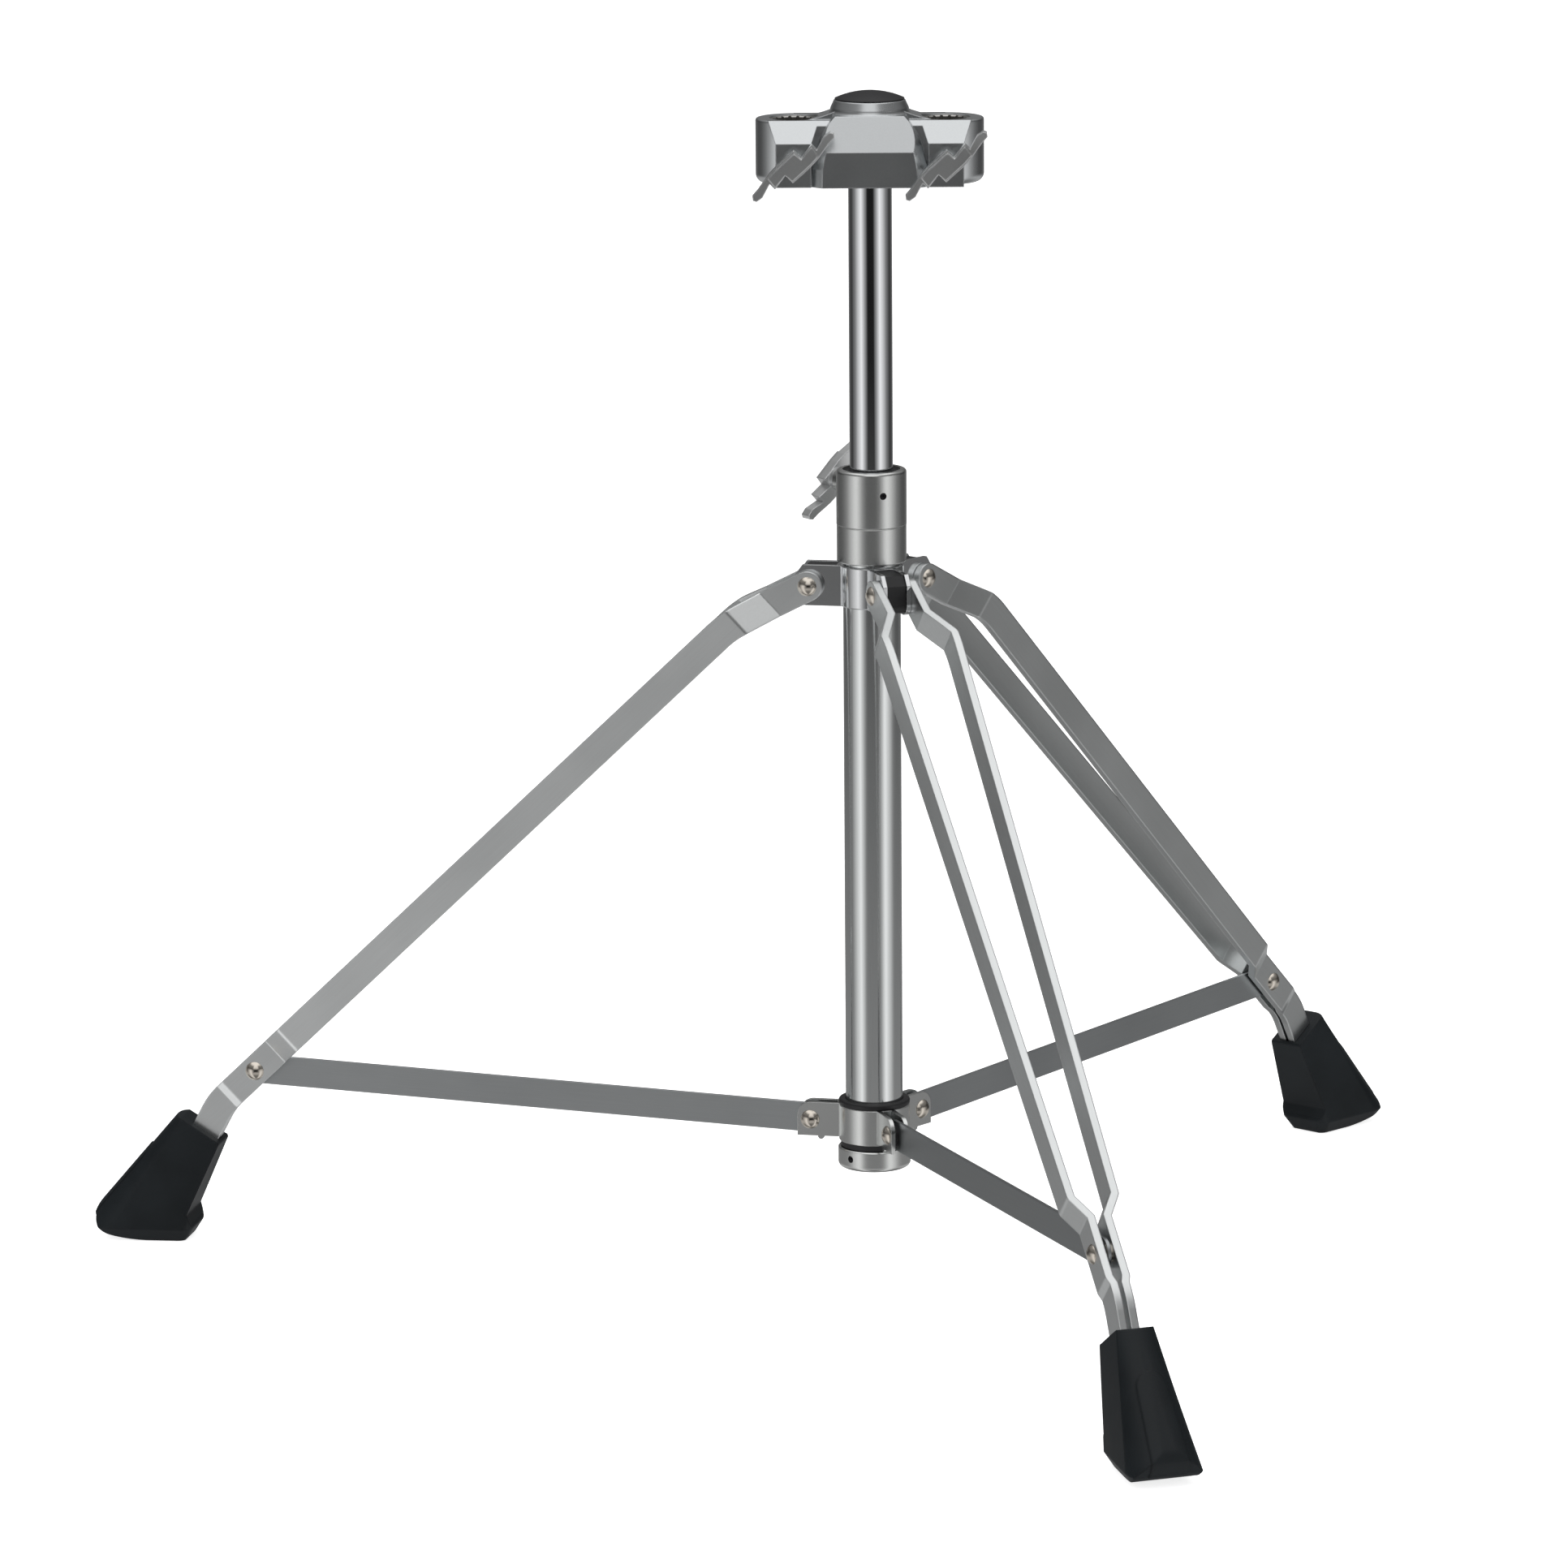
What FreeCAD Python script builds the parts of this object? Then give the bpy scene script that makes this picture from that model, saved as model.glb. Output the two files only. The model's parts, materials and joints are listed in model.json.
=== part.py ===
import FreeCAD, Part
import math
import os
import Sketcher

# A double tom stand: a folding tripod of three double-bar legs with flat braces, a lower and an
# upper tube with a clamping sleeve, and a cast head with two tom-arm receivers. Millimetres.
# The floor is Z = 0, the tubes stand on the Z axis, and the head's receivers lie along X.

V = FreeCAD.Vector
AXIS_X, AXIS_Y, AXIS_Z = V(1, 0, 0), V(0, 1, 0), V(0, 0, 1)

SIZES = {
    # tubes
    "lower_tube_rad": 19.05,
    "upper_tube_rad": 14.3,
    "tube_wall": 1.5,
    "lower_tube_foot": 75.0,
    "lower_tube_top": 516.0,
    "upper_tube_foot": 300.0,
    "upper_tube_top": 772.0,
    "running_gap": 0.08,
    # tripod directions, seen from above, and the leg's centreline in its own plane
    "azimuth_right": 49.4,
    "azimuth_left": 169.4,
    "azimuth_front": 289.4,
    "leg_pivot_out": 40.7,
    "leg_pivot_height": 466.5,
    "upper_slope": 27.2,
    "upper_run": 57.5,
    "main_slope": 43.77,
    "main_run": 462.8,
    "foot_slope": 62.0,
    "foot_run": 35.0,
    "bar_tail": 46.0,
    "upper_bend_rad": 67.0,
    "lower_bend_rad": 45.0,
    "bar_width": 20.0,
    "bar_thickness": 5.2,
    # inner faces of a leg's two bars, from the leg's middle plane
    "hub_half_gap": 9.8,
    "spread_half_gap": 21.3,
    "low_half_gap": 12.0,
    "knee_half_gap": 2.9,
    "foot_half_gap": 1.25,
    # braces and the sliding hub
    "brace_pivot_out": 42.6,
    "brace_pivot_height": 102.4,
    "brace_thickness": 2.2,
    "rivet_shank": 4.0,
    "rivet_head": 6.4,
    "rivet_dome": 3.4,
    "pin_gap": 0.08,
    # upper hub
    "upper_hub_rad": 21.2,
    "upper_hub_low": 453.0,
    "upper_hub_top": 480.4,
    "upper_ear_half": 9.6,
    "upper_ear_gap": 6.7,
    # lower hub, its nylon bush and the end ring
    "lower_hub_rad": 23.6,
    "lower_hub_bore": 21.2,
    "lower_hub_low": 89.5,
    "lower_hub_top": 114.2,
    "lower_ear_half": 6.2,
    "lower_ear_gap": 3.4,
    "bush_flange_rad": 23.8,
    "bush_flange_top": 118.2,
    "end_ring_rad": 24.2,
    "end_ring_low": 71.5,
    "end_ring_top": 85.5,
    # sleeve on top of the lower tube
    "sleeve_rad": 23.2,
    "sleeve_low": 482.6,
    "sleeve_top": 544.1,
    "sleeve_groove": 506.9,
    "sleeve_bolt_azimuth": 124.0,
    "sleeve_bolt_height": 532.0,
    "sleeve_boss_end": 33.0,
    "sleeve_screw_height": 529.0,
    # head casting
    "head_half": 74.5,
    "lobe_rad": 25.0,
    "head_low": 733.8,
    "deck": 775.9,
    "block_front": 36.0,
    "block_back": 28.0,
    "boss_front": 32.0,
    "head_bolt_height": 749.2,
    "collar_rad": 25.6,
    "collar_top": 787.6,
    "cap_rad": 22.8,
    "cap_top": 793.3,
    "receiver_rad": 13.0,
    "insert_rad": 16.0,
    # wing bolts
    "bolt_rad": 3.9,
    "wing_reach": 34.0,
    "head_wing_tilt": 38.7,
    "sleeve_wing_tilt": -49.0,
}

doc = FreeCAD.newDocument("tom_stand")
sheet = doc.addObject("Spreadsheet::Sheet", "Sizes")
for row, (alias, number) in enumerate(SIZES.items(), start=1):
    sheet.set(f"A{row}", alias)
    sheet.set(f"B{row}", str(number))
    sheet.setAlias(f"B{row}", alias)
doc.recompute()

parts = {}


class Size:
    """A number together with the sheet formula that drives it."""

    def __init__(self, number, formula):
        self.number = float(number)
        self.formula = formula

    def __add__(self, other):
        other = as_size(other)
        return Size(self.number + other.number, f"({self.formula} + {other.formula})")

    def __sub__(self, other):
        other = as_size(other)
        return Size(self.number - other.number, f"({self.formula} - {other.formula})")

    def __mul__(self, other):
        other = as_size(other)
        return Size(self.number * other.number, f"({self.formula} * {other.formula})")

    def __truediv__(self, other):
        other = as_size(other)
        return Size(self.number / other.number, f"({self.formula} / {other.formula})")

    def __radd__(self, other):
        return as_size(other) + self

    def __rsub__(self, other):
        return as_size(other) - self

    def __rmul__(self, other):
        return as_size(other) * self

    def __neg__(self):
        return Size(-self.number, f"(0 - {self.formula})")


def as_size(value):
    if isinstance(value, Size):
        return value
    return Size(value, f"({value})")


def size(alias):
    return Size(SIZES[alias], f"Sizes.{alias}")


def cosine(angle):
    angle = as_size(angle)
    return Size(math.cos(math.radians(angle.number)), f"cos({angle.formula} * 1 deg)")


def sine(angle):
    angle = as_size(angle)
    return Size(math.sin(math.radians(angle.number)), f"sin({angle.formula} * 1 deg)")


def tangent(angle):
    angle = as_size(angle)
    return Size(math.tan(math.radians(angle.number)), f"tan({angle.formula} * 1 deg)")


def root(value):
    value = as_size(value)
    return Size(math.sqrt(value.number), f"sqrt({value.formula})")


def bind(thing, prop, value):
    thing.setExpression(prop, as_size(value).formula)


def place(thing, x=0.0, y=0.0, z=0.0, turn=0.0):
    """Puts a piece at x, y, z and turns it about the vertical."""
    x, y, z, turn = as_size(x), as_size(y), as_size(z), as_size(turn)
    spin = FreeCAD.Rotation(AXIS_Z, turn.number)
    thing.Placement = FreeCAD.Placement(V(x.number, y.number, z.number), spin)
    if turn.number:
        bind(thing, "Placement.Rotation.Angle", turn)
    bind(thing, "Placement.Base.x", x)
    bind(thing, "Placement.Base.y", y)
    bind(thing, "Placement.Base.z", z)


def place_out(thing, out, height, azimuth):
    """Puts a piece at a radius and a height in the vertical plane at an azimuth."""
    place(thing, out * cosine(azimuth), out * sine(azimuth), height, azimuth)


# ---------------------------------------------------------------- sketches

def arc_between(start, end, radius):
    """The short arc from start to end; a positive radius turns left on the way."""
    mid = (start + end) * 0.5
    chord = end - start
    rise = math.sqrt(max(radius * radius - chord.Length ** 2 / 4.0, 0.0))
    left = V(-chord.y, chord.x, 0).normalize()
    centre = mid + left * (rise if radius > 0 else -rise)
    first, last = (start, end) if radius > 0 else (end, start)
    from_angle = math.atan2(first.y - centre.y, first.x - centre.x)
    to_angle = math.atan2(last.y - centre.y, last.x - centre.x)
    circle = Part.Circle(centre, V(0, 0, 1), abs(radius))
    return Part.ArcOfCircle(circle, from_angle, to_angle)


def draw(sketch, corners, closed=True):
    """Draws an outline. A corner is (x, y), or (x, y, radius) where an arc leads to the next."""
    corners = [tuple(as_size(value) for value in corner) for corner in corners]
    points = [V(corner[0].number, corner[1].number, 0) for corner in corners]
    count = len(corners) if closed else len(corners) - 1
    ends = []
    for i in range(count):
        start, end = points[i], points[(i + 1) % len(points)]
        if len(corners[i]) == 3:
            radius = corners[i][2]
            item = sketch.addGeometry(arc_between(start, end, radius.number), False)
            ends.append((item, 1, 2) if radius.number > 0 else (item, 2, 1))
        else:
            item = sketch.addGeometry(Part.LineSegment(start, end), False)
            ends.append((item, 1, 2))
    for i in range(count):
        item, first, last = ends[i]
        if closed or i + 1 < count:
            following, start, _ = ends[(i + 1) % count]
            sketch.addConstraint(Sketcher.Constraint("Coincident", item, last, following, start))
        hold(sketch, item, first, corners[i])
        if len(corners[i]) == 3:
            radius = corners[i][2]
            size_of = radius if radius.number > 0 else -radius
            fixed = Sketcher.Constraint("Radius", item, size_of.number)
            number = sketch.addConstraint(fixed)
            sketch.setExpression(f"Constraints[{number}]", size_of.formula)
    if not closed:
        item, _, last = ends[-1]
        hold(sketch, item, last, corners[-1])


def hold(sketch, item, point, corner):
    """Fixes one point of a sketch at x and y from the sketch's origin."""
    for kind, value in (("DistanceX", corner[0]), ("DistanceY", corner[1])):
        fixed = Sketcher.Constraint(kind, -1, 1, item, point, value.number)
        number = sketch.addConstraint(fixed)
        sketch.setExpression(f"Constraints[{number}]", value.formula)


def draw_circle(sketch, x, y, radius):
    x, y, radius = as_size(x), as_size(y), as_size(radius)
    circle = Part.Circle(V(x.number, y.number, 0), V(0, 0, 1), radius.number)
    item = sketch.addGeometry(circle, False)
    hold(sketch, item, 3, (x, y))
    number = sketch.addConstraint(Sketcher.Constraint("Radius", item, radius.number))
    sketch.setExpression(f"Constraints[{number}]", radius.formula)


# ---------------------------------------------------------------- PartDesign helpers

def new_body(label):
    body = doc.addObject("PartDesign::Body", label)
    body.Label = label
    return body


def origin_item(body, role):
    return next(item for item in body.Origin.OriginFeatures if item.Role == role)


def new_sketch(body, plane, offset=0.0):
    """An empty sketch on one of the body's own planes, moved along the plane's normal."""
    sketch = body.newObject("Sketcher::SketchObject", f"{body.Name}_sketch")
    sketch.AttachmentSupport = [(origin_item(body, plane), "")]
    sketch.MapMode = "FlatFace"
    offset = as_size(offset)
    if offset.number:
        sketch.AttachmentOffset = FreeCAD.Placement(V(0, 0, offset.number), FreeCAD.Rotation())
        bind(sketch, "AttachmentOffset.Base.z", offset)
    return sketch


def outline_on(body, plane, corners, offset=0.0):
    sketch = new_sketch(body, plane, offset)
    draw(sketch, corners)
    return sketch


def circle_on(body, plane, x, y, radius, offset=0.0):
    sketch = new_sketch(body, plane, offset)
    draw_circle(sketch, x, y, radius)
    return sketch


def add_pad(body, sketch, length, both_sides=False):
    pad = body.newObject("PartDesign::Pad", f"{body.Name}_pad")
    pad.Profile = sketch
    pad.Length = as_size(length).number
    bind(pad, "Length", length)
    if both_sides:
        pad.SideType = "Symmetric"
    return pad


def add_cut(body, sketch, length=400.0):
    """A pocket to both sides of its sketch, over a total length."""
    pocket = body.newObject("PartDesign::Pocket", f"{body.Name}_pocket")
    pocket.Profile = sketch
    pocket.SideType = "Symmetric"
    pocket.Length = as_size(length).number
    bind(pocket, "Length", length)
    return pocket


def add_turn(body, corners, along="Z"):
    """Revolves an outline of (radius, distance along the axis) corners about an axis."""
    if along == "Z":
        sketch = outline_on(body, "XZ_Plane", corners)
        axis = "V_Axis"
    else:
        flipped = [(corner[1], corner[0]) + mirrored(corner[2:]) for corner in corners]
        sketch = outline_on(body, "XZ_Plane" if along == "X" else "YZ_Plane", flipped)
        axis = "H_Axis"
    turn = body.newObject("PartDesign::Revolution", f"{body.Name}_turn")
    turn.Profile = sketch
    turn.ReferenceAxis = (sketch, [axis])
    turn.Angle = 360
    return turn


def mirrored(radius):
    """An arc's radius changes side when x and y are exchanged."""
    return tuple(-as_size(value) for value in radius)


def turned(label, corners, along="Z"):
    body = new_body(label)
    add_turn(body, corners, along)
    parts[label] = body
    return body


def add_pattern(body, originals, count):
    pattern = body.newObject("PartDesign::PolarPattern", f"{body.Name}_pattern")
    pattern.Originals = originals
    pattern.Axis = (origin_item(body, "Z_Axis"), [""])
    pattern.Angle = 360
    pattern.Occurrences = count
    body.Tip = pattern
    return pattern


# ---------------------------------------------------------------- Part helpers

def side_sketch(name, corners, closed=True):
    """A free sketch in the leg's own plane: x is out from the axis, y is up."""
    sketch = doc.addObject("Sketcher::SketchObject", name)
    sketch.Placement = FreeCAD.Placement(V(0, 0, 0), FreeCAD.Rotation(AXIS_X, 90))
    draw(sketch, corners, closed)
    return sketch


def strip(name, path, half_width):
    """A face of even width along a path, with round ends."""
    face = doc.addObject("Part::Offset2D", name)
    face.Source = path
    face.Mode = "Pipe"
    face.Fill = True
    face.Value = as_size(half_width).number
    bind(face, "Value", half_width)
    return face


def thickened(name, path, thickness):
    """A face between a path and its copy on the left-hand side."""
    face = doc.addObject("Part::Offset2D", name)
    face.Source = path
    face.Mode = "Skin"
    face.Fill = True
    face.Value = -as_size(thickness).number
    bind(face, "Value", -thickness)
    return face


def extruded(name, profile, length, direction=None):
    solid = doc.addObject("Part::Extrusion", name)
    solid.Base = profile
    if direction is None:
        solid.DirMode = "Normal"
    else:
        solid.DirMode = "Custom"
        solid.Dir = direction
    solid.LengthFwd = as_size(length).number
    bind(solid, "LengthFwd", length)
    solid.Symmetric = True
    solid.Solid = True
    return solid


def cross_rod(name, x, z, radius, length):
    """A cylinder along Y through the point x, z, to both sides."""
    rod = doc.addObject("Part::Cylinder", name)
    x, z, length = as_size(x), as_size(z), as_size(length)
    spin = FreeCAD.Rotation(AXIS_X, -90)
    rod.Placement = FreeCAD.Placement(V(x.number, -length.number / 2, z.number), spin)
    bind(rod, "Placement.Base.x", x)
    bind(rod, "Placement.Base.y", -length / 2)
    bind(rod, "Placement.Base.z", z)
    bind(rod, "Radius", radius)
    bind(rod, "Height", length)
    return rod


def radial_rod(name, azimuth, height, radius, start, end, centre_x=0.0):
    """A level cylinder that points away from a vertical axis, between two distances from it."""
    azimuth, height, start, end = (as_size(v) for v in (azimuth, height, start, end))
    rod = doc.addObject("Part::Cylinder", name)
    across = V(-sine(azimuth).number, cosine(azimuth).number, 0)
    x = as_size(centre_x) + start * cosine(azimuth)
    y = start * sine(azimuth)
    spin = FreeCAD.Rotation(across, 90)
    rod.Placement = FreeCAD.Placement(V(x.number, y.number, height.number), spin)
    bind(rod, "Placement.Rotation.Axis.x", -sine(azimuth))
    bind(rod, "Placement.Rotation.Axis.y", cosine(azimuth))
    bind(rod, "Placement.Base.x", x)
    bind(rod, "Placement.Base.y", y)
    bind(rod, "Placement.Base.z", height)
    bind(rod, "Radius", radius)
    bind(rod, "Height", end - start)
    return rod


def joined(name, shapes, kind="Part::MultiFuse"):
    result = doc.addObject(kind, name)
    result.Shapes = shapes
    return result


def cut_away(label, base, tools):
    result = doc.addObject("Part::Cut", label)
    result.Base = base
    result.Tool = tools[0] if len(tools) == 1 else joined(f"{label}_tools", tools)
    result.Label = label
    parts[label] = result
    return result


# ---------------------------------------------------------------- shared sizes

lower_tube = size("lower_tube_rad")
upper_tube = size("upper_tube_rad")
wall = size("tube_wall")
gap = size("running_gap")
pin_gap = size("pin_gap")
shank = size("rivet_shank")
head_rad = size("rivet_head")
dome = size("rivet_dome")
thickness = size("bar_thickness")
half_bar = size("bar_width") / 2
pivot_out = size("leg_pivot_out")
pivot_height = size("leg_pivot_height")
upper_slope = size("upper_slope")
main_slope = size("main_slope")
foot_slope = size("foot_slope")
bend_out = pivot_out + size("upper_run") * cosine(upper_slope)
bend_height = pivot_height - size("upper_run") * sine(upper_slope)
knee_out = bend_out + size("main_run") * cosine(main_slope)
knee_height = bend_height - size("main_run") * sine(main_slope)
low_bend_out = knee_out + size("foot_run") * cosine(main_slope)
low_bend_height = knee_height - size("foot_run") * sine(main_slope)
tail_out = low_bend_out + size("bar_tail") * cosine(foot_slope)
tail_height = low_bend_height - size("bar_tail") * sine(foot_slope)
brace_out = size("brace_pivot_out")
brace_height = size("brace_pivot_height")
LEGS = {"left": size("azimuth_left"), "front": size("azimuth_front"), "right": size("azimuth_right")}


def tube(label, outer, inner, low, top):
    """A tube with a small chamfer at both rims."""
    rim = 0.4
    turned(label, [
        (inner, low),
        (outer - rim, low),
        (outer, low + rim),
        (outer, top - rim),
        (outer - rim, top),
        (inner, top),
    ])
    return parts[label]


def domed_pin(label, shank_rad, half_grip, along="Y"):
    """A rivet with a domed head at both ends."""
    peak = half_grip + dome
    cap_rad = (head_rad * head_rad + dome * dome) / (dome * 2)
    return turned(label, [
        (0, -peak, cap_rad),
        (head_rad, -half_grip),
        (shank_rad, -half_grip),
        (shank_rad, half_grip),
        (head_rad, half_grip, cap_rad),
        (0, peak),
    ], along)


# ---------------------------------------------------------------- mast: lower tube and its fittings

def build_lower_tube():
    tube("lower_tube", lower_tube, lower_tube - wall, size("lower_tube_foot"), size("lower_tube_top"))


def build_end_ring():
    """The stop ring on the foot of the tube, with an inward lip under it and a set screw."""
    outer, low, top = size("end_ring_rad"), size("end_ring_low"), size("end_ring_top")
    lip = lower_tube - 4
    edge = 1.6
    shell = turned("end_ring_shell", [
        (lip, low),
        (outer - edge * 2, low, edge * 2),
        (outer, low + edge * 2),
        (outer, top - 0.8),
        (outer - 0.8, top),
        (lower_tube, top),
        (lower_tube, size("lower_tube_foot")),
        (lip, size("lower_tube_foot")),
    ])
    del parts["end_ring_shell"]
    azimuth, height = 228.0, 79.6
    hole = radial_rod("end_ring_hole", azimuth, height, 2.3, lower_tube - 0.5, outer + 2)
    cut_away("end_ring", shell, [hole])
    set_screw("end_ring_screw", azimuth, height, lower_tube, outer - 2.2)


def set_screw(label, azimuth, height, start, end):
    """A cup-ended screw without a head, sunk in its hole, with a socket for the key."""
    screw = turned(label, [
        (0, start),
        (1.4, start),
        (2.25, start + 0.8),
        (2.25, end),
        (1.2, end),
        (1.2, end - 1.2),
        (0, end - 1.6),
    ], "X")
    place(screw, 0, 0, height, azimuth)


def build_sleeve():
    """The clamping sleeve on top of the lower tube, with a boss for its wing bolt."""
    outer, low, top = size("sleeve_rad"), size("sleeve_low"), size("sleeve_top")
    groove = size("sleeve_groove")
    azimuth, height = size("sleeve_bolt_azimuth"), size("sleeve_bolt_height")
    shell = turned("sleeve_shell", [
        (0, low),
        (outer - 0.8, low),
        (outer - 0.2, low + 0.6),
        (outer - 0.2, groove - 0.5),
        (outer - 0.9, groove),
        (outer, groove + 0.5),
        (outer, top - 2.2, 2.2),
        (outer - 2.2, top),
        (0, top),
    ])
    del parts["sleeve_shell"]
    boss = radial_rod("sleeve_boss", azimuth, height, 9.0, lower_tube + 1, size("sleeve_boss_end"))
    whole = joined("sleeve_blank", [shell, boss])
    core = doc.addObject("Part::Cylinder", "sleeve_core")
    core.Placement.Base = V(0, 0, low.number - 5)
    bind(core, "Placement.Base.z", low - 5)
    bind(core, "Radius", lower_tube)
    bind(core, "Height", top - low + 10)
    bore = radial_rod("sleeve_bolt_bore", azimuth, height, size("bolt_rad") + 0.1,
                      lower_tube - 1, size("sleeve_boss_end") + 2)
    screw_hole = radial_rod("sleeve_screw_hole", size("azimuth_front"), size("sleeve_screw_height"),
                            2.3, lower_tube - 1, outer + 3)
    cut_away("mast_sleeve", whole, [core, bore, screw_hole])
    set_screw("sleeve_screw", size("azimuth_front"), size("sleeve_screw_height"),
              lower_tube, outer - 2.0)


def build_sleeve_bush():
    """The nylon bush that guides the upper tube in the sleeve, cut away for the clamp shoe."""
    low, top = size("lower_tube_top") + 0.3, size("sleeve_top") - 1.6
    bush = turned("sleeve_bush_shell", [
        (upper_tube + gap, low),
        (lower_tube, low),
        (lower_tube, top),
        (upper_tube + gap + 1, top),
        (upper_tube + gap, top - 1),
    ])
    del parts["sleeve_bush_shell"]
    window = radial_rod("sleeve_bush_window", size("sleeve_bolt_azimuth"),
                        size("sleeve_bolt_height"), size("bolt_rad") + 0.4,
                        upper_tube - 2, lower_tube + 2)
    cut_away("sleeve_bush", bush, [window])


# ---------------------------------------------------------------- hubs

def clevis_hub(label, outer, bore, low, top, ear, ear_half, ear_gap, slot_from, pivot, nub=None):
    """A ring with a pair of upright ears for each leg."""
    body = new_body(label)
    rim = 0.6
    add_turn(body, [
        (0, low),
        (outer - rim, low),
        (outer, low + rim),
        (outer, top - rim),
        (outer - rim, top),
        (0, top),
    ])
    ears = [add_pad(body, outline_on(body, "XZ_Plane", ear), ear_half * 2, True)]
    if nub is not None:
        knob = circle_on(body, "XZ_Plane", nub[0], nub[1], 2.2)
        ears.append(add_pad(body, knob, ear_half * 2, True))
    slot = outline_on(body, "XZ_Plane", [
        (slot_from, low - 20),
        (slot_from + 60, low - 20),
        (slot_from + 60, top + 20),
        (slot_from, top + 20),
    ])
    ears.append(add_cut(body, slot, ear_gap * 2))
    hole = circle_on(body, "XZ_Plane", pivot[0], pivot[1], shank + pin_gap)
    ears.append(add_cut(body, hole, 60.0))
    add_pattern(body, ears, 3)
    body.Tip = add_cut(body, circle_on(body, "XY_Plane", 0, 0, bore), 1200.0)
    place(body, turn=size("azimuth_right"))
    parts[label] = body


def build_upper_hub():
    low, top = size("upper_hub_low"), size("upper_hub_top")
    tip = pivot_out + 9.3
    ear = [
        (15, low),
        (tip - 8, low, 8.0),
        (tip, low + 8),
        (tip, top - 7.2),
        (tip - 5.2, top - 0.2),
        (15, top - 0.2),
    ]
    clevis_hub("upper_hub", size("upper_hub_rad"), lower_tube, low, top, ear,
               size("upper_ear_half"), size("upper_ear_gap"), size("upper_hub_rad") + 1.2,
               (pivot_out, pivot_height))


def build_lower_hub():
    low, top = size("lower_hub_low"), size("lower_hub_top")
    tip = brace_out + 8.7
    ear = [
        (22, low + 1.8),
        (tip, low + 1.8),
        (tip, top - 9, 9.0),
        (tip - 9, top),
        (22, top),
    ]
    clevis_hub("lower_hub", size("lower_hub_rad"), size("lower_hub_bore"), low, top, ear,
               size("lower_ear_half"), size("lower_ear_gap"), size("lower_hub_rad") + 1.0,
               (brace_out, brace_height), (brace_out - 7.4, low + 1.8))


def build_hub_bush():
    """The nylon bush inside the sliding hub, with a thick flange on top and a thin one below."""
    inner, outer = lower_tube + gap, size("lower_hub_bore")
    flange, low, top = size("bush_flange_rad"), size("lower_hub_low"), size("lower_hub_top")
    foot = size("end_ring_top") + 0.4
    turned("hub_bush", [
        (inner + 0.6, foot),
        (flange - 1.4, foot),
        (flange - 1.4, low),
        (outer, low),
        (outer, top),
        (flange - 0.8, top),
        (flange, top + 0.8),
        (flange, size("bush_flange_top") - 1.6, 1.6),
        (flange - 1.6, size("bush_flange_top")),
        (inner + 0.6, size("bush_flange_top")),
        (inner, size("bush_flange_top") - 0.6),
        (inner, foot + 0.6),
    ])


def build_spacer(name, azimuth):
    """The black block that keeps two ears of the upper hub apart."""
    low, top, tip = size("upper_hub_low") + 1.2, size("upper_hub_top") - 1.4, pivot_out + 7.6
    heel = size("upper_hub_rad") + 1.3
    body = new_body(f"hub_spacer_{name}")
    block = outline_on(body, "XZ_Plane", [
        (heel, low),
        (tip - 6, low, 6.0),
        (tip, low + 6),
        (tip, top - 6),
        (tip - 5, top),
        (heel, top),
    ])
    add_pad(body, block, (size("upper_ear_gap") - 0.1) * 2, True)
    eye = circle_on(body, "XZ_Plane", pivot_out, pivot_height, shank + pin_gap)
    body.Tip = add_cut(body, eye, 60.0)
    place(body, turn=azimuth)
    parts[body.Label] = body


# ---------------------------------------------------------------- legs

def tangent_point(out, height, slope, distance):
    """The point at a distance along a slope that goes down and outward."""
    return out + distance * cosine(slope), height - distance * sine(slope)


def leg_path(name):
    """The centreline of a leg bar in the leg's plane: two bends join three straight runs."""
    upper_rad, lower_rad = size("upper_bend_rad"), size("lower_bend_rad")
    upper_touch = upper_rad * tangent((main_slope - upper_slope) / 2)
    lower_touch = lower_rad * tangent((foot_slope - main_slope) / 2)
    bend = (bend_out, bend_height)
    low_bend = (low_bend_out, low_bend_height)
    return side_sketch(name, [
        (pivot_out, pivot_height),
        tangent_point(*bend, upper_slope, -upper_touch) + (-upper_rad,),
        tangent_point(*bend, main_slope, upper_touch),
        tangent_point(*low_bend, main_slope, -lower_touch) + (-lower_rad,),
        tangent_point(*low_bend, foot_slope, lower_touch),
        (tail_out, tail_height),
    ], closed=False)


def build_leg(name, azimuth):
    side = strip(f"{name}_strip", leg_path(f"{name}_path"), half_bar)
    for suffix, hand in (("a", 1), ("b", -1)):
        build_bar(name, suffix, hand, side, azimuth)
    pivot = domed_pin(f"leg_{name}_pivot", shank, size("hub_half_gap") + thickness)
    place_out(pivot, pivot_out, pivot_height, azimuth)
    for suffix, hand in (("a", 1), ("b", -1)):
        build_knee(name, suffix, hand, azimuth)
    build_foot(name, side, azimuth)


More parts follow.
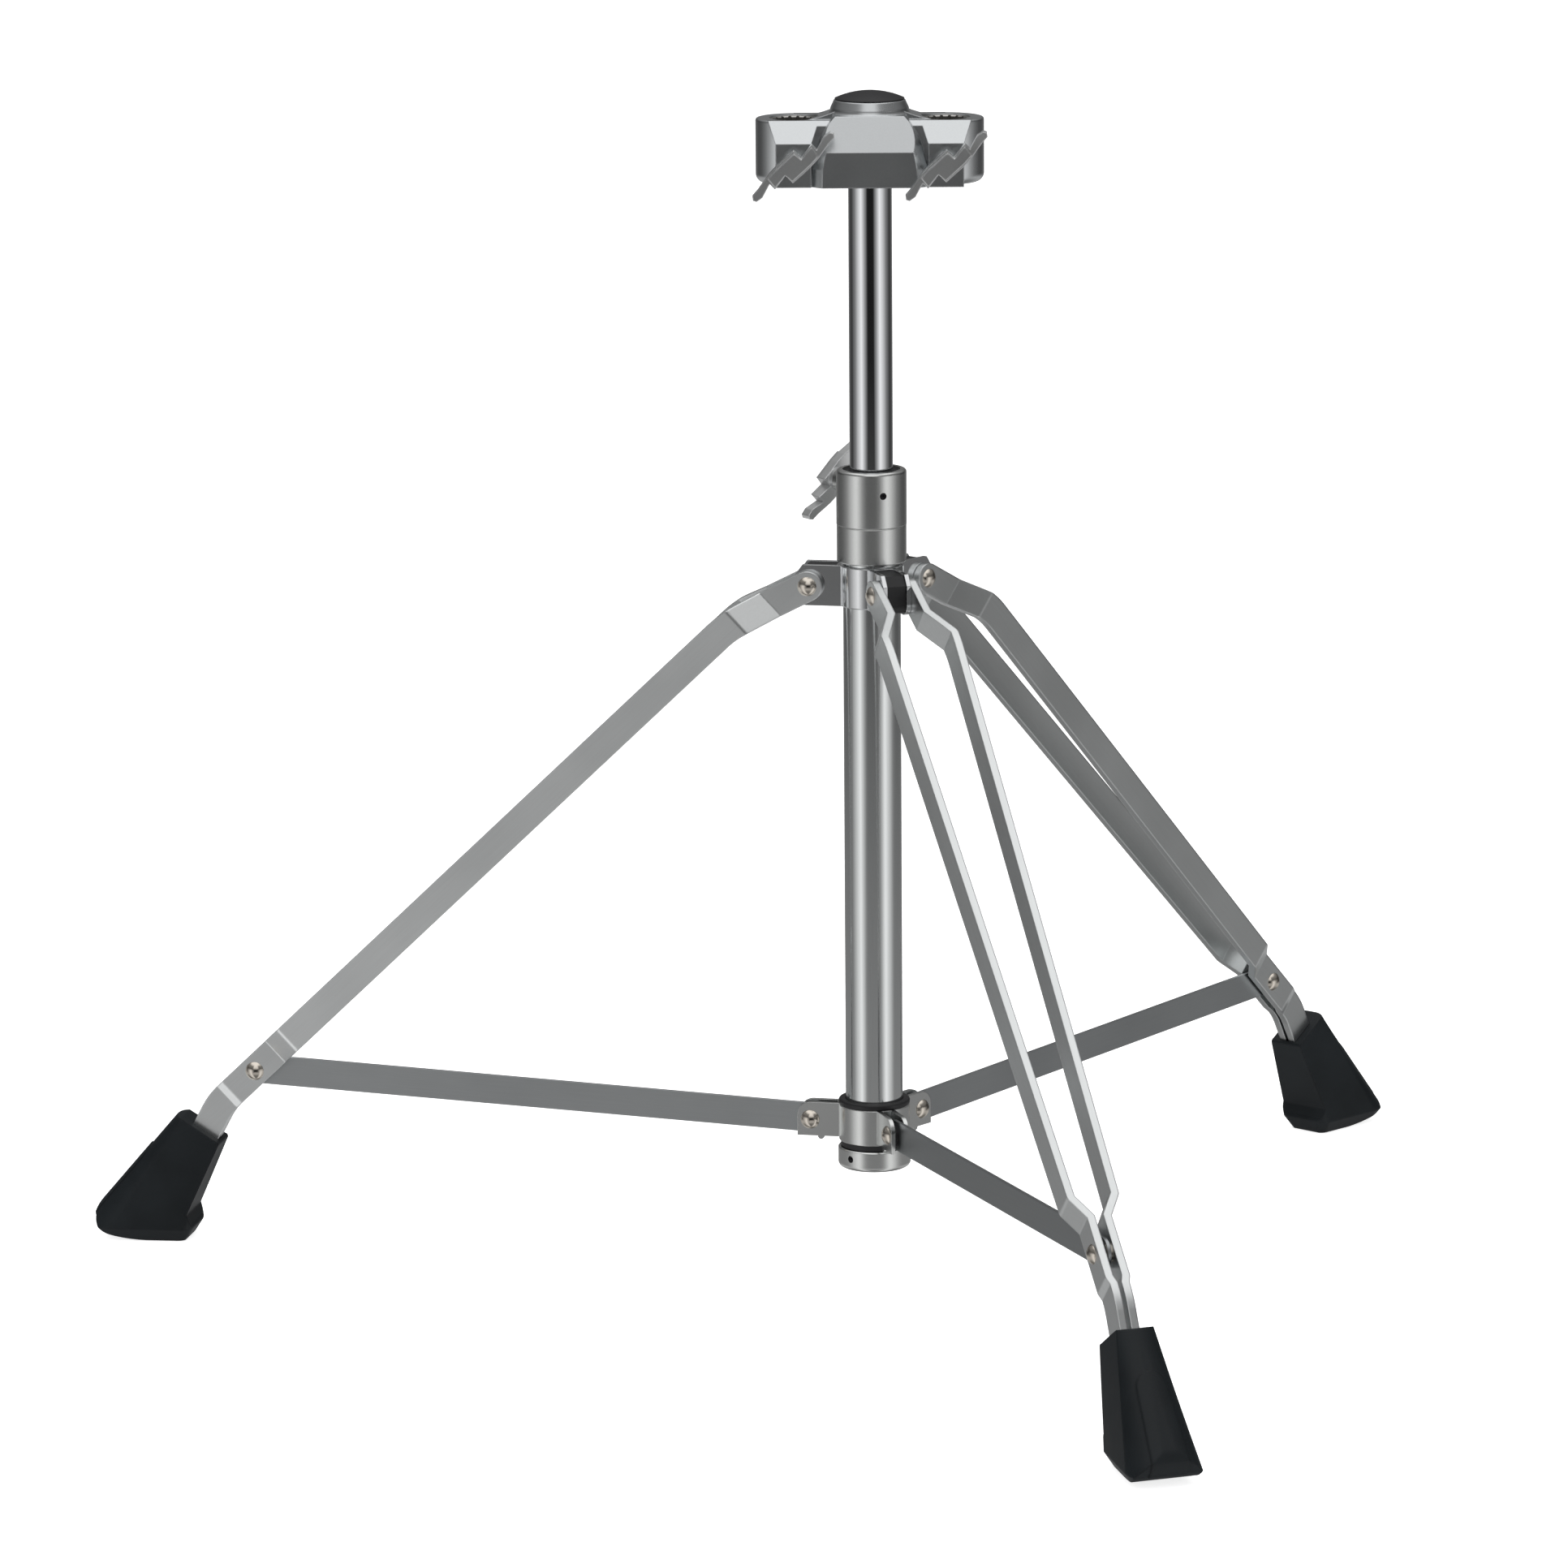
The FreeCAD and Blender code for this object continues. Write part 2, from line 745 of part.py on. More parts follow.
def build_bar(name, suffix, hand, side, azimuth):
    """One flat bar: its side outline and its joggled plan outline in common, and two rivet holes."""
    label = f"leg_{name}_bar_{suffix}"
    slab = extruded(f"{label}_side", side, 80.0, AXIS_Y)
    knee = size("upper_run") * cosine(main_slope - upper_slope) + size("main_run")
    near_hub, wide, low = size("hub_half_gap"), size("spread_half_gap"), size("low_half_gap")
    at_knee, at_foot = size("knee_half_gap"), size("foot_half_gap")
    plan = doc.addObject("Sketcher::SketchObject", f"{label}_plan")
    spin = FreeCAD.Rotation(AXIS_Y, main_slope.number)
    plan.Placement = FreeCAD.Placement(V(pivot_out.number, 0, pivot_height.number), spin)
    bind(plan, "Placement.Rotation.Angle", main_slope)
    bind(plan, "Placement.Base.x", pivot_out)
    bind(plan, "Placement.Base.z", pivot_height)
    corners = [
        (-30, near_hub),
        (28, near_hub),
        (50, wide),
        (knee - 37, low),
        (knee - 22, at_knee),
        (knee + 22, at_knee),
        (knee + 27, at_foot),
        (knee + 120, at_foot),
    ]
    draw(plan, [(along, across * hand) for along, across in corners], closed=False)
    edge = thickened(f"{label}_edge", plan, thickness * hand)
    blank = joined(f"{label}_blank", [slab, extruded(f"{label}_sheet", edge, 160.0)],
                   "Part::MultiCommon")
    bar = cut_away(label, blank, [
        cross_rod(f"{label}_top_hole", pivot_out, pivot_height, shank, 90.0),
        cross_rod(f"{label}_knee_hole", knee_out, knee_height, shank, 90.0),
    ])
    place(bar, turn=azimuth)


def build_knee(name, suffix, hand, azimuth):
    """Half of the rivet at a leg's knee: a dome outside the bar and a shoulder inside it."""
    inside, outside = size("knee_half_gap"), size("knee_half_gap") + thickness
    cap_rad = (head_rad * head_rad + dome * dome) / (dome * 2)
    stub = turned(f"leg_{name}_knee_{suffix}", [
        (0, (inside - 1.2) * hand),
        (head_rad, (inside - 1.2) * hand),
        (head_rad, inside * hand),
        (shank, inside * hand),
        (shank, outside * hand),
        (head_rad, outside * hand, cap_rad * hand),
        (0, (outside + dome) * hand),
    ], "Y")
    place_out(stub, knee_out, knee_height, azimuth)


def boot_shell(label, swell=0.0):
    """The boot's flared shell: narrow at the top, wide and round-nosed at the sole."""
    levels = []
    for height, heel, heel_half, bend, nose, nose_half, tip in (
        (0.0, 476.0, 14.5, 6.0, 525.2, 18.5, 543.7),
        (9.0, 470.5, 20.0, 8.0, 525.2, 24.5, 549.7),
        (88.0, 441.5, 10.8, 2.5, 476.6, 12.0, 481.6),
    ):
        reach = tip - nose
        nose_rad = (reach * reach + nose_half * nose_half) / (reach * 2) + swell
        heel_half, nose_half = heel_half + swell, nose_half + swell
        heel, tip = heel - swell, tip + swell
        level = doc.addObject("Sketcher::SketchObject", f"{label}_level")
        level.Placement = FreeCAD.Placement(V(0, 0, height), FreeCAD.Rotation())
        draw(level, [
            (nose, -nose_half, nose_rad),
            (tip, 0.0, nose_rad),
            (nose, nose_half),
            (heel + bend, heel_half, bend),
            (heel, heel_half - bend),
            (heel, bend - heel_half, bend),
            (heel + bend, -heel_half),
        ])
        levels.append(level)
    shell = doc.addObject("Part::Loft", label)
    shell.Sections = levels
    shell.Solid = True
    shell.Ruled = True
    return shell


def build_foot(name, side, azimuth):
    """The rubber boot: a flared shell cut to its side outline, a raised arch, a socket."""
    boot_outline = side_sketch(f"foot_{name}_outline", [
        (451.6, 67.5),
        (473.4, 19.5),
        (471.2, 12.0, 5.0),
        (472.2, 5.0),
        (476.5, 0.0),
        (498.0, 0.0, 90.0),
        (527.5, 4.2, 15.0),
        (538.5, 17.5, 14.0),
        (535.2, 25.0),
        (485.5, 83.5, 4.0),
        (480.5, 86.6),
        (478.0, 86.0),
        (453.4, 70.6, 2.4),
    ])
    boot = extruded(f"foot_{name}_side", boot_outline, 60.0, AXIS_Y)
    shell = boot_shell(f"foot_{name}_shell")
    blank = joined(f"foot_{name}_blank", [boot, shell], "Part::MultiCommon")
    rim = doc.addObject("Part::Offset2D", f"foot_{name}_rim")
    rim.Source = boot_outline
    rim.Value = 0.9
    rim_block = extruded(f"foot_{name}_rim_block", rim, 200.0, AXIS_Y)
    rim_shell = boot_shell(f"foot_{name}_rim_shell", 0.9)
    arch = doc.addObject("Sketcher::SketchObject", f"foot_{name}_arch")
    arch.Placement = FreeCAD.Placement(V(585, 0, 0), FreeCAD.Rotation(V(1, 1, 1), 120))
    draw(arch, [
        (-13.0, 8.0),
        (13.0, 8.0),
        (10.0, 55.0, 10.3),
        (0, 65.5, 10.3),
        (-10.0, 55.0),
    ])
    arch_block = extruded(f"foot_{name}_arch_block", arch, 200.0, AXIS_X)
    panel = joined(f"foot_{name}_panel", [rim_block, rim_shell, arch_block], "Part::MultiCommon")
    body = joined(f"foot_{name}_body", [blank, panel])
    half = size("foot_half_gap") + thickness
    socket = extruded(f"foot_{name}_socket", side, half * 2, AXIS_Y)
    foot = cut_away(f"leg_{name}_foot", body, [socket])
    place(foot, turn=azimuth)


# ---------------------------------------------------------------- braces

def shifted(point, by, times=1):
    return point[0] + by[0] * times, point[1] + by[1] * times


def build_brace(name, azimuth):
    """A flat brace from the sliding hub to the leg's knee, with a nylon bush at the hub end."""
    across, up = knee_out - brace_out, knee_height - brace_height
    length = root(across * across + up * up)
    along = (across / length * half_bar, up / length * half_bar)
    side = (-along[1], along[0])
    hub, knee = (brace_out, brace_height), (knee_out, knee_height)
    outline = side_sketch(f"brace_{name}_outline", [
        shifted(hub, side),
        shifted(knee, side) + (-half_bar,),
        shifted(knee, along) + (-half_bar,),
        shifted(knee, side, -1),
        shifted(hub, side, -1) + (-half_bar,),
        shifted(hub, along, -1) + (-half_bar,),
    ])
    flat = extruded(f"brace_{name}_flat", outline, size("brace_thickness"), AXIS_Y)
    bush_rad = shank + pin_gap + 1.4
    brace = cut_away(f"brace_{name}", flat, [
        cross_rod(f"brace_{name}_bush_hole", brace_out, brace_height, bush_rad, 30.0),
        cross_rod(f"brace_{name}_knee_hole", knee_out, knee_height, shank + pin_gap, 30.0),
    ])
    place(brace, turn=azimuth)
    half = size("brace_thickness") / 2
    end = size("lower_ear_gap") - 0.25
    bush = turned(f"brace_{name}_bush", [
        (shank + pin_gap, -end),
        (bush_rad + 2.2, -end),
        (bush_rad + 2.2, -half),
        (bush_rad, -half),
        (bush_rad, half),
        (bush_rad + 2.2, half),
        (bush_rad + 2.2, end),
        (shank + pin_gap, end),
    ], "Y")
    place_out(bush, brace_out, brace_height, azimuth)
    pin = domed_pin(f"hub_pin_{name}", shank, size("lower_ear_half") + 0.1)
    place_out(pin, brace_out, brace_height, azimuth)


# ---------------------------------------------------------------- upper mast and head

def build_mast():
    low, top = size("upper_tube_foot"), size("upper_tube_top")
    tube("upper_tube", upper_tube, upper_tube - wall, low, top)
    guide_rad = lower_tube - wall - gap
    turned("mast_guide", [
        (upper_tube - wall, low - 8),
        (guide_rad - 1, low - 8),
        (guide_rad, low - 7),
        (guide_rad, low + 21),
        (guide_rad - 1, low + 22),
        (upper_tube + 0.2, low + 22),
        (upper_tube + 0.2, low - 0.3),
        (upper_tube - wall, low - 0.3),
    ])


def build_head():
    """The head casting: a centre block with a sloping brow, a lobe at each end, and a collar."""
    body = new_body("head_casting")
    low, deck = size("head_low"), size("deck")
    front, back = size("block_front"), size("block_back")
    lobe, half = size("lobe_rad"), size("head_half")
    centre = half - lobe
    collar, top = size("collar_rad"), size("collar_top")
    boss_front = size("boss_front")

    waist = outline_on(body, "XY_Plane", [
        (-centre, -(lobe - 3)),
        (centre, -(lobe - 3)),
        (centre, lobe),
        (-centre, lobe),
    ], low)
    add_pad(body, waist, deck - low)
    lobe_outline = [
        (0, low),
        (lobe - 5, low, 6.0),
        (lobe, low + 6),
        (lobe, deck - 1.6, 1.6),
        (lobe - 1.6, deck),
        (0, deck),
    ]
    add_lobe(body, lobe_outline, centre)
    add_lobe(body, lobe_outline, -centre)
    brow_low = deck - 14.1
    for side in (-1, 1):
        middle = centre * side
        boss = outline_on(body, "XZ_Plane", [
            (middle - 11.5, low),
            (middle + 11.5, low),
            (middle + 11.5, brow_low),
            (middle + 16.5, deck),
            (middle - 16.5, deck),
            (middle - 11.5, brow_low),
        ], lobe - 9)
        add_pad(body, boss, boss_front - lobe + 9)
    brow = outline_on(body, "YZ_Plane", [
        (-(lobe - 6), deck + 5),
        (-(lobe - 6), deck),
        (-(boss_front + 1), brow_low - 0.5),
        (-(boss_front + 30), brow_low - 0.5),
        (-(boss_front + 30), deck + 5),
    ])
    add_cut(body, brow, half * 2 + 20)
    flare = 7.0
    shield = shield_outline(body, low, deck, front, 0.0)
    skirt = shield_outline(body, low, deck, front - flare, flare)
    block = body.newObject("PartDesign::AdditiveLoft", "head_block_front")
    block.Profile = shield
    block.Sections = [skirt]
    block.Ruled = True
    add_pad(body, shield_outline(body, low, deck, front - flare, flare), front - flare + back)
    body.Tip.Reversed = True
    slope = outline_on(body, "YZ_Plane", [
        (-(front + 1), low + 20.4),
        (-(front - 9), deck + 4.4),
        (-(front - 9), deck + 12),
        (-(front + 20), deck + 12),
        (-(front + 20), low + 20.4),
    ])
    add_cut(body, slope, 80.0)
    rear_slope = outline_on(body, "YZ_Plane", [
        (back - 1, deck + 8),
        (back - 1, deck + 4),
        (back + 1, deck - 2),
        (back + 20, deck - 2),
        (back + 20, deck + 8),
    ])
    add_cut(body, rear_slope, 80.0)
    ramp = outline_on(body, "XZ_Plane", [
        (-42, deck - 2),
        (42, deck - 2),
        (42, deck - 0.2, -70.0),
        (22, deck + 5.4),
        (-22, deck + 5.4, -70.0),
        (-42, deck - 0.2),
    ])
    add_pad(body, ramp, 26.0, True)
    add_turn(body, [
        (0, deck - 4),
        (collar + 1.6, deck - 4),
        (collar + 1.6, deck + 3.2, -5.0),
        (collar, deck + 6.5),
        (collar - 2.2, top - 0.4),
        (collar - 2.6, top),
        (0, top),
    ])
    add_turn(body, [
        (0, low - 2.6),
        (upper_tube + 1.6, low - 2.6),
        (upper_tube + 3.4, low + 1),
        (0, low + 1),
    ])
    tube_bore = new_sketch(body, "XY_Plane", low - 20)
    draw_circle(tube_bore, 0, 0, upper_tube)
    bore_up(body, tube_bore, size("upper_tube_top") - low + 20)
    neck = new_sketch(body, "XY_Plane", low)
    draw_circle(neck, 0, 0, upper_tube - wall)
    bore_up(body, neck, 100.0)
    for side in (-1, 1):
        receiver = new_sketch(body, "XY_Plane", low - 10)
        draw_circle(receiver, centre * side, 0, size("insert_rad"))
        bore_up(body, receiver, 100.0)
        bolt = circle_on(body, "XZ_Plane", centre * side, size("head_bolt_height"),
                         size("bolt_rad") + 0.1)
        pocket = add_cut(body, bolt, boss_front + 10)
        pocket.SideType = "One side"
        pocket.Reversed = True
    parts["head_casting"] = body


def shield_outline(body, low, deck, distance, flare):
    """The front outline of the head's centre block, at a distance in front of the tube's axis."""
    return outline_on(body, "XZ_Plane", [
        (-31 - flare, low),
        (31 + flare, low),
        (30.6 + flare, low + 12),
        (28.4 + flare * 0.9, low + 23, 46.0),
        (20.3 + flare * 0.3, deck + 3.6),
        (-20.3 - flare * 0.3, deck + 3.6, 46.0),
        (-28.4 - flare * 0.9, low + 23),
        (-30.6 - flare, low + 12),
    ], distance)


def add_lobe(body, outline, x):
    """A turned lobe about an upright axis at x."""
    sketch = outline_on(body, "XZ_Plane", [(corner[0] + x,) + corner[1:] for corner in outline])
    line = sketch.addGeometry(Part.LineSegment(V(x.number, 0, 0), V(x.number, 900, 0)), True)
    hold(sketch, line, 1, (x, as_size(0)))
    hold(sketch, line, 2, (x, as_size(900)))
    turn = body.newObject("PartDesign::Revolution", "head_lobe")
    turn.Profile = sketch
    turn.ReferenceAxis = (sketch, ["Axis0"])
    turn.Angle = 360


def bore_up(body, sketch, length):
    """A pocket that runs upward from its sketch."""
    pocket = body.newObject("PartDesign::Pocket", f"{body.Name}_bore")
    pocket.Profile = sketch
    pocket.Reversed = True
    pocket.Length = as_size(length).number
    bind(pocket, "Length", length)
    return pocket


def build_cap():
    """The domed plug on the head's collar."""
    seat, top, rad = size("collar_top"), size("cap_top"), size("cap_rad")
    rise = top - seat - 0.8
    dome_rad = (rad * rad + rise * rise) / (rise * 2)
    stem = upper_tube - wall - 0.3
    turned("head_cap", [
        (0, seat - 12),
        (stem - 1, seat - 12),
        (stem, seat - 11),
        (stem, seat),
        (rad - 0.5, seat),
        (rad, seat + 0.8, dome_rad),
        (0, top),
    ])


def build_receiver(name, side):
    """The fluted steel insert in a lobe of the head, drilled for the clamp shoe."""
    low, top = size("head_low") + 1.0, size("deck") - 0.6
    centre = (size("head_half") - size("lobe_rad")) * side
    bore, outer = size("receiver_rad"), size("insert_rad")
    body = new_body(f"receiver_{name}")
    add_turn(body, [
        (bore, low + 0.8),
        (bore + 0.8, low),
        (outer, low),
        (outer, top),
        (bore + 0.8, top),
        (bore, top - 0.8),
    ])
    flute = circle_on(body, "XY_Plane", bore * cosine(11.25), bore * sine(11.25), 1.0)
    add_pattern(body, [add_cut(body, flute, 1700.0)], 16)
    hole = circle_on(body, "XZ_Plane", 0, size("head_bolt_height"), size("bolt_rad") + 0.4)
    pocket = add_cut(body, hole, 40.0)
    pocket.SideType = "One side"
    pocket.Reversed = True
    body.Tip = pocket
    place(body, centre)
    parts[body.Label] = body


# ---------------------------------------------------------------- wing bolts

def build_wing_bolt(name, x, height, azimuth, shoe_face, boss_end, tilt):
    """A cast stepped wing on a screw, and the round shoe that the screw pushes inward."""
    wing = new_body(f"wing_{name}")
    neck = boss_end + 1.0
    grip = boss_end + 6.5
    reach = size("wing_reach")
    screw = size("bolt_rad") - 0.1
    add_turn(wing, [
        (0, neck),
        (6.2, neck),
        (7.4, neck + 1.2),
        (7.4, grip + 2),
        (6.4, grip + 7),
        (0, grip + 7),
    ], "X")
    half_outline = [
        (8.2, -7.2),
        (15.6, -6.1),
        (reach - 7, -2.8),
        (reach - 1.4, -1.8),
        (reach, 0.5),
        (reach - 1.4, 2.6),
        (reach - 6, 2.9),
        (reach - 15.2, -1.0),
        (reach - 15.7, 3.8),
        (7.4, 1.2),
        (6.7, 8.0),
    ]
    outline = half_outline + [(-out, -up) for out, up in half_outline]
    turned_outline = [(out * cosine(tilt) - up * sine(tilt), out * sine(tilt) + up * cosine(tilt))
                      for out, up in outline]
    add_pad(wing, outline_on(wing, "YZ_Plane", turned_outline, grip), 8.5)
    shoulder = [
        (10.0, -5.6),
        (reach - 16.8, -4.4),
        (reach - 16.8, 2.8),
        (7.2, 0.6),
        (6.0, 6.6),
    ]
    inner = shoulder + [(-out, -up) for out, up in shoulder]
    turned_inner = [(out * cosine(tilt) - up * sine(tilt), out * sine(tilt) + up * cosine(tilt))
                    for out, up in inner]
    wing.Tip = add_pad(wing, outline_on(wing, "YZ_Plane", turned_inner, grip + 8.4), 4.0)
    place(wing, x, 0, height, azimuth)
    parts[wing.Label] = wing
    stud = turned(f"screw_{name}", [
        (0, shoe_face + 6.2),
        (screw - 0.8, shoe_face + 6.2),
        (screw, shoe_face + 7),
        (screw, neck),
        (0, neck),
    ], "X")
    place(stud, x, 0, height, azimuth)
    shoe = turned(f"shoe_{name}", [
        (0, shoe_face),
        (screw - 0.8, shoe_face),
        (screw, shoe_face + 0.8),
        (screw, shoe_face + 5.9),
        (0, shoe_face + 5.9),
    ], "X")
    place(shoe, x, 0, height, azimuth)


build_lower_tube()
build_end_ring()
build_sleeve()
build_sleeve_bush()
build_upper_hub()
build_lower_hub()
build_hub_bush()
for leg, direction in LEGS.items():
    build_spacer(leg, direction)
    build_leg(leg, direction)
    build_brace(leg, direction)
build_mast()
build_head()
build_cap()
build_receiver("left", -1)
build_receiver("right", 1)
lobe_x = size("head_half") - size("lobe_rad")
for hand, side in (("left", -1), ("right", 1)):
    build_wing_bolt(hand, lobe_x * side, size("head_bolt_height"), as_size(270),
                    size("receiver_rad") + 0.3, size("boss_front"), size("head_wing_tilt"))
build_wing_bolt("sleeve", as_size(0), size("sleeve_bolt_height"), size("sleeve_bolt_azimuth"),
                upper_tube + 0.3, size("sleeve_boss_end"), size("sleeve_wing_tilt"))

doc.recompute()
for item in doc.Objects:
    if "Invalid" in item.State or "Error" in item.State:
        raise RuntimeError(f"{item.Label} did not build: {item.State}")
os.makedirs("parts", exist_ok=True)
for label, item in parts.items():
    if item.Shape.isNull() or not item.Shape.isValid() or item.Shape.Volume <= 0:
        raise RuntimeError(f"{label} has no valid solid")
    item.Shape.exportStep(f"parts/{label}.step")
print(f"{len(parts)} parts")
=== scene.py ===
import json
import math

import bpy
from mathutils import Matrix, Vector

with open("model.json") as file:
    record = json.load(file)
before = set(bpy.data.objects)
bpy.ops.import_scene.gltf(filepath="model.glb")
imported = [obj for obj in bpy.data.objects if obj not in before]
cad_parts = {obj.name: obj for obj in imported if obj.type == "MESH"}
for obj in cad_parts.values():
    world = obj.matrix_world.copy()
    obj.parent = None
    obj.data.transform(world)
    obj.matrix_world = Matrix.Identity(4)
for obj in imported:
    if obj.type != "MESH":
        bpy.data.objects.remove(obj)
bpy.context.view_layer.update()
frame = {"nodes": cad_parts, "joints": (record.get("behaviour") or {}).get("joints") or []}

SIDES = ("left", "front", "right")
FOLD_AXES = {joint["child"]: Vector(joint["axis"]) for joint in frame["joints"]}
UPRIGHT = (1.0, 1.0, 0.03)
LENGTHWISE = (0.02, 1.0, 1.0)

# Camera: a long lens a little above the stand, looking along +Y.
CAMERA_PLACE = Vector((0.0, -4.982, 1.384))
CAMERA_PITCH = 11.92
CAMERA_YAW = -0.677
CAMERA_ROLL = -0.413
CAMERA_LENS = 176.3
SENSOR_WIDTH = 36.0
CAMERA_REACH = 200.0

# The studio's floor lies just below the boots, so the two faces don't fight.
FLOOR_HALF = 40.0
FLOOR_DROP = 0.0004
FLOOR_GREY = 0.86
FLOOR_GLOW = 0.8
WALL_DISTANCE = 30.0
WALL_HEIGHT = 30.0
WALL_FACETS = 48
WALL_GREY = 0.0
WALL_GLOW = 1.0
STAGE_ROUGHNESS = 0.9

# The lamps: name, place, width in metres and power in watts. All face one point of the stand.
LAMPS = (
    ("overhead", Vector((0.0, -0.3, 3.2)), 2.6, 30.0),
    ("left", Vector((-2.6, -2.2, 1.6)), 1.6, 18.0),
    ("right", Vector((2.4, -2.4, 1.6)), 1.6, 16.0),
)
LAMP_AIM = Vector((0.0, 0.0, 0.4))

# Sizes of the surface textures, as repeats per metre, and heights of their bumps in metres.
SCRATCH_SCALE = 900.0
SPECKLE_SCALE = 2600.0
CLOUD_SCALE = 14.0
DUST_SCALE = 24.0
METAL_BUMP = 0.0002
MOULDED_BUMP = 0.0003

# How many directions the softened edges are averaged over.
METAL_EDGE_SAMPLES = 6
MOULDED_EDGE_SAMPLES = 4

# Slopes of the long parts, in degrees below the level, from the hub outward.
LEG_SLOPE = 43.77
BRACE_SLOPE = -2.64

# Painted light and shade: the legs and braces share one plating, but each side's parts get their
# own brightness, left, front and right, for how the light falls on that side.
LEG_PAINTED_LIGHT = (0.96, 0.79, 0.77)
BRACE_PAINTED_LIGHT = (0.59, 0.43, 0.49)


# ---------------------------------------------------------------- node helpers

class Nodes:
    """A short way to add and link the nodes of one tree."""

    def __init__(self, tree):
        self.tree = tree
        tree.nodes.clear()

    def add(self, kind, settings=None, **inputs):
        """Adds a node. Inputs are numbers, tuples or other sockets, named with _ for a space."""
        node = self.tree.nodes.new(kind)
        for name, value in (settings or {}).items():
            setattr(node, name, value)
        for name, value in inputs.items():
            self.feed(node.inputs[name.replace("_", " ")], value)
        return node

    def feed(self, socket, value):
        if isinstance(value, bpy.types.NodeSocket):
            self.tree.links.new(value, socket)
        else:
            socket.default_value = value

    def math(self, operation, *values):
        node = self.tree.nodes.new("ShaderNodeMath")
        node.operation = operation
        for socket, value in zip(node.inputs, values):
            self.feed(socket, value)
        return node.outputs[0]

    def ramp(self, fac, stops):
        """A colour ramp from grey levels or colours, given as (place, value) stops."""
        node = self.tree.nodes.new("ShaderNodeValToRGB")
        node.color_ramp.interpolation = "LINEAR"
        elements = node.color_ramp.elements
        while len(elements) > 1:
            elements.remove(elements[-1])
        for number, (place, value) in enumerate(stops):
            element = elements[0] if number == 0 else elements.new(place)
            element.position = place
            colour = value if isinstance(value, tuple) else (value, value, value)
            element.color = (*colour, 1.0)
        self.feed(node.inputs["Fac"], fac)
        return node.outputs["Color"]

    def range(self, value, low, high, to_low, to_high):
        """The value carried from one span to another and held within it."""
        node = self.add("ShaderNodeMapRange", None, Value=value, From_Min=low, From_Max=high,
                        To_Min=to_low, To_Max=to_high)
        return node.outputs["Result"]

    def mix(self, fac, first, second, blend="MIX"):
        node = self.tree.nodes.new("ShaderNodeMix")
        node.data_type = "RGBA"
        node.blend_type = blend
        self.feed(node.inputs[0], fac)
        self.feed(node.inputs[6], first)
        self.feed(node.inputs[7], second)
        return node.outputs[2]

    def noise(self, vector, scale, detail=3.0, roughness=0.5):
        node = self.add("ShaderNodeTexNoise", None, Vector=vector, Scale=scale, Detail=detail,
                        Roughness=roughness)
        return node.outputs["Fac"]

    def place(self):
        """A point of the piece in metres, which moves with the piece."""
        return self.add("ShaderNodeTexCoord").outputs["Object"]

    def stretched(self, vector, scale, turn=(0.0, 0.0, 0.0)):
        """The vector turned and then scaled along each axis."""
        turned = self.add("ShaderNodeMapping", {"vector_type": "POINT"}, Vector=vector,
                          Rotation=turn)
        node = self.add("ShaderNodeMapping", {"vector_type": "POINT"},
                        Vector=turned.outputs[0], Scale=scale)
        return node.outputs[0]


def grey(level, tint=(1.0, 1.0, 1.0)):
    """An opaque colour: the tint at this level."""
    return tuple(level * part for part in tint) + (1.0,)


# ---------------------------------------------------------------- studio

def make_camera():
    data = bpy.data.cameras.new("camera")
    data.lens = CAMERA_LENS
    data.sensor_width = SENSOR_WIDTH
    data.clip_end = CAMERA_REACH
    camera = bpy.data.objects.new("camera", data)
    bpy.context.scene.collection.objects.link(camera)
    pitch, yaw = math.radians(CAMERA_PITCH), math.radians(CAMERA_YAW)
    ahead = Vector((math.sin(yaw) * math.cos(pitch), math.cos(yaw) * math.cos(pitch),
                    -math.sin(pitch)))
    right = ahead.cross(Vector((0, 0, 1))).normalized()
    turn = Matrix((right, right.cross(ahead), -ahead)).transposed()
    roll = Matrix.Rotation(math.radians(CAMERA_ROLL), 3, "Z")
    camera.matrix_world = Matrix.Translation(CAMERA_PLACE) @ (turn @ roll).to_4x4()
    bpy.context.scene.camera = camera


